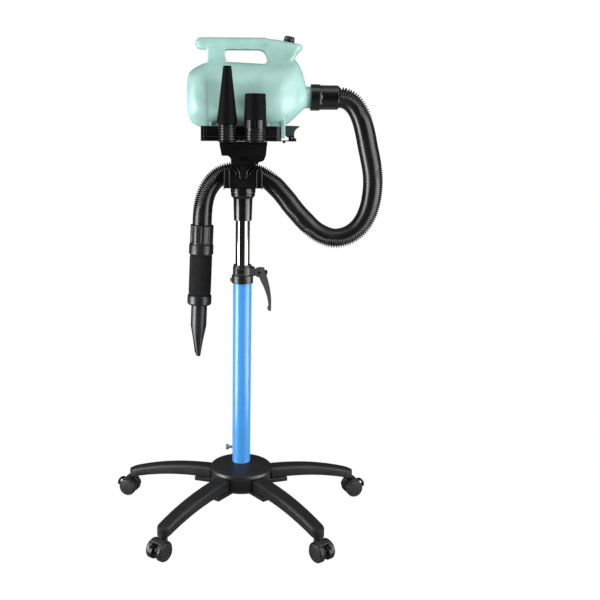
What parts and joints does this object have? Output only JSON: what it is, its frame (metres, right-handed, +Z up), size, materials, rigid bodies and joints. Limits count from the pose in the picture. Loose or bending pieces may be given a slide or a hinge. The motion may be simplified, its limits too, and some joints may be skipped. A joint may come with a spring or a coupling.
{
  "type": "pet dryer",
  "caption": "Pet grooming dryer with handle, corrugated hose and wand, held in a cradle on a height-adjustable column with a five-legged caster base.",
  "frame": {"origin": "on the floor under the middle of the object's box", "axes": "+Z up along the column, -Y towards the front with the spare nozzles, +X towards the dryer outlet"},
  "size_m": [0.622, 0.5916, 1.0939],
  "materials": {
    "black_plastic": "moulded, fine satin texture",
    "gloss_black": "glossy moulded plastic",
    "caster_grey": "satin nylon",
    "wheel_tread": "satin nylon tread",
    "mint_shell": "blow-moulded, semi-gloss",
    "blue_paint": "gloss powder coat on steel tube",
    "chrome_tube": "bright chrome plate",
    "steel": "zinc-plated",
    "latch_grey": "satin nylon",
    "hose_rubber": "corrugated flexible plastic",
    "foam": "closed-cell foam",
    "filter_foam": "open-cell foam",
    "motor_metal": "cast and pressed",
    "fan_plastic": "moulded nylon"
  },
  "bodies": {
    "base": {"hub": "black_plastic", "leg_1": "black_plastic", "leg_2": "black_plastic", "leg_3": "black_plastic", "leg_4": "black_plastic", "leg_5": "black_plastic", "outer_tube": "blue_paint", "base_set_screw": "steel", "guide_bush": "black_plastic", "clamp_collar": "black_plastic", "clamp_bolt": "steel", "clamp_nut": "steel", "clamp_pin": "steel"},
    "lever": {"clamp_lever": "black_plastic"},
    "mast": {"inner_tube": "chrome_tube"},
    "head": {"sleeve": "gloss_black", "neck_collar": "gloss_black", "hose_holder": "black_plastic", "saddle": "black_plastic", "socket_screw": "steel", "cradle": "black_plastic", "latch_pin": "steel", "front_shell": "mint_shell", "rear_shell": "mint_shell", "motor": "motor_metal", "motor_mount": "black_plastic", "cable_gland": "black_plastic", "hose_cuff": "gloss_black", "hose": "hose_rubber", "wand_cuff": "gloss_black", "wand_body": "black_plastic", "foam_grip": "foam"},
    "latch": {"latch": "latch_grey"},
    "cone_nozzle": {"cone_nozzle": "black_plastic"},
    "wide_nozzle": {"wide_nozzle": "black_plastic"},
    "inlet": {"inlet_grille": "black_plastic", "filter": "filter_foam"},
    "impeller": {"impeller": "fan_plastic"},
    "knob": {"speed_knob": "gloss_black"},
    "wand_nozzle": {"wand_nozzle": "black_plastic"},
    "caster_1": {"caster_housing_1": "caster_grey"},
    "wheels_1": {"wheel_pair_1": "wheel_tread"},
    "brake_1": {"caster_brake_1": "black_plastic"},
    "caster_2": {"caster_housing_2": "caster_grey"},
    "wheels_2": {"wheel_pair_2": "wheel_tread"},
    "brake_2": {"caster_brake_2": "black_plastic"},
    "caster_3": {"caster_housing_3": "caster_grey"},
    "wheels_3": {"wheel_pair_3": "wheel_tread"},
    "brake_3": {"caster_brake_3": "black_plastic"},
    "caster_4": {"caster_housing_4": "caster_grey"},
    "wheels_4": {"wheel_pair_4": "wheel_tread"},
    "brake_4": {"caster_brake_4": "black_plastic"},
    "caster_5": {"caster_housing_5": "caster_grey"},
    "wheels_5": {"wheel_pair_5": "wheel_tread"},
    "brake_5": {"caster_brake_5": "black_plastic"}
  },
  "joints": [
    {"name": "column_height", "type": "slide", "parent": "base", "child": "mast", "axis": [0, 0, 1], "range_m": [-0.09, 0.3]},
    {"name": "head_swivel", "type": "hinge", "parent": "mast", "child": "head", "pos_m": [0, -0.03, 0.72], "axis": [0, 0, 1], "range_deg": [-170, 170]},
    {"name": "clamp_lever_lift", "type": "hinge", "parent": "base", "child": "lever", "pos_m": [0.038, -0.03, 0.5795], "axis": [0, -1, 0], "range_deg": [0, 75]},
    {"name": "latch_release", "type": "hinge", "parent": "head", "child": "latch", "pos_m": [0.106, -0.03, 0.879], "axis": [0, 1, 0], "range_deg": [0, 35], "stiffness_Nm_per_rad": 0.25},
    {"name": "cone_nozzle_lift", "type": "slide", "parent": "head", "child": "cone_nozzle", "axis": [0, 0, 1], "range_m": [0, 0.03]},
    {"name": "wide_nozzle_lift", "type": "slide", "parent": "head", "child": "wide_nozzle", "axis": [0, 0, 1], "range_m": [0, 0.03]},
    {"name": "inlet_pull", "type": "slide", "parent": "head", "child": "inlet", "axis": [-1, 0, 0], "range_m": [0, 0.03]},
    {"name": "impeller_spin", "type": "hinge", "parent": "head", "child": "impeller", "pos_m": [0.062, -0.03, 0.966], "axis": [1, 0, 0], "continuous": true},
    {"name": "knob_turn", "type": "hinge", "parent": "head", "child": "knob", "pos_m": [0.0965, -0.03, 1.082], "axis": [0.1736, 0, 0.9848], "range_deg": [0, 270]},
    {"name": "wand_nozzle_pull", "type": "slide", "parent": "head", "child": "wand_nozzle", "axis": [-0.0384, 0, -0.9993], "range_m": [0, 0.016]},
    {"name": "caster_swivel_1", "type": "hinge", "parent": "base", "child": "caster_1", "pos_m": [0.16164, -0.25248, 0.056], "axis": [0, 0, 1], "continuous": true},
    {"name": "wheel_spin_1", "type": "hinge", "parent": "caster_1", "child": "wheels_1", "pos_m": [0.1725, -0.26743, 0.021], "axis": [0.809, 0.5878, 0], "continuous": true},
    {"name": "brake_press_1", "type": "hinge", "parent": "caster_1", "child": "brake_1", "pos_m": [0.18238, -0.28102, 0.03654], "axis": [0.809, 0.5878, 0], "range_deg": [0, 10]},
    {"name": "caster_swivel_2", "type": "hinge", "parent": "base", "child": "caster_2", "pos_m": [0.26154, 0.05498, 0.056], "axis": [0, 0, 1], "continuous": true},
    {"name": "wheel_spin_2", "type": "hinge", "parent": "caster_2", "child": "wheels_2", "pos_m": [0.27912, 0.06069, 0.021], "axis": [-0.309, 0.9511, 0], "continuous": true},
    {"name": "brake_press_2", "type": "hinge", "parent": "caster_2", "child": "brake_2", "pos_m": [0.29509, 0.06588, 0.03654], "axis": [-0.309, 0.9511, 0], "range_deg": [0, 10]},
    {"name": "caster_swivel_3", "type": "hinge", "parent": "base", "child": "caster_3", "pos_m": [0, 0.245, 0.056], "axis": [0, 0, 1], "continuous": true},
    {"name": "wheel_spin_3", "type": "hinge", "parent": "caster_3", "child": "wheels_3", "pos_m": [0, 0.26348, 0.021], "axis": [-1, 0, 0], "continuous": true},
    {"name": "brake_press_3", "type": "hinge", "parent": "caster_3", "child": "brake_3", "pos_m": [0, 0.28028, 0.03654], "axis": [-1, 0, 0], "range_deg": [0, 10]},
    {"name": "caster_swivel_4", "type": "hinge", "parent": "base", "child": "caster_4", "pos_m": [-0.26154, 0.05498, 0.056], "axis": [0, 0, 1], "continuous": true},
    {"name": "wheel_spin_4", "type": "hinge", "parent": "caster_4", "child": "wheels_4", "pos_m": [-0.27912, 0.06069, 0.021], "axis": [-0.309, -0.9511, 0], "continuous": true},
    {"name": "brake_press_4", "type": "hinge", "parent": "caster_4", "child": "brake_4", "pos_m": [-0.29509, 0.06588, 0.03654], "axis": [-0.309, -0.9511, 0], "range_deg": [0, 10]},
    {"name": "caster_swivel_5", "type": "hinge", "parent": "base", "child": "caster_5", "pos_m": [-0.16164, -0.25248, 0.056], "axis": [0, 0, 1], "continuous": true},
    {"name": "wheel_spin_5", "type": "hinge", "parent": "caster_5", "child": "wheels_5", "pos_m": [-0.1725, -0.26743, 0.021], "axis": [0.809, -0.5878, 0], "continuous": true},
    {"name": "brake_press_5", "type": "hinge", "parent": "caster_5", "child": "brake_5", "pos_m": [-0.18238, -0.28102, 0.03654], "axis": [0.809, -0.5878, 0], "range_deg": [0, 10]}
  ]
}
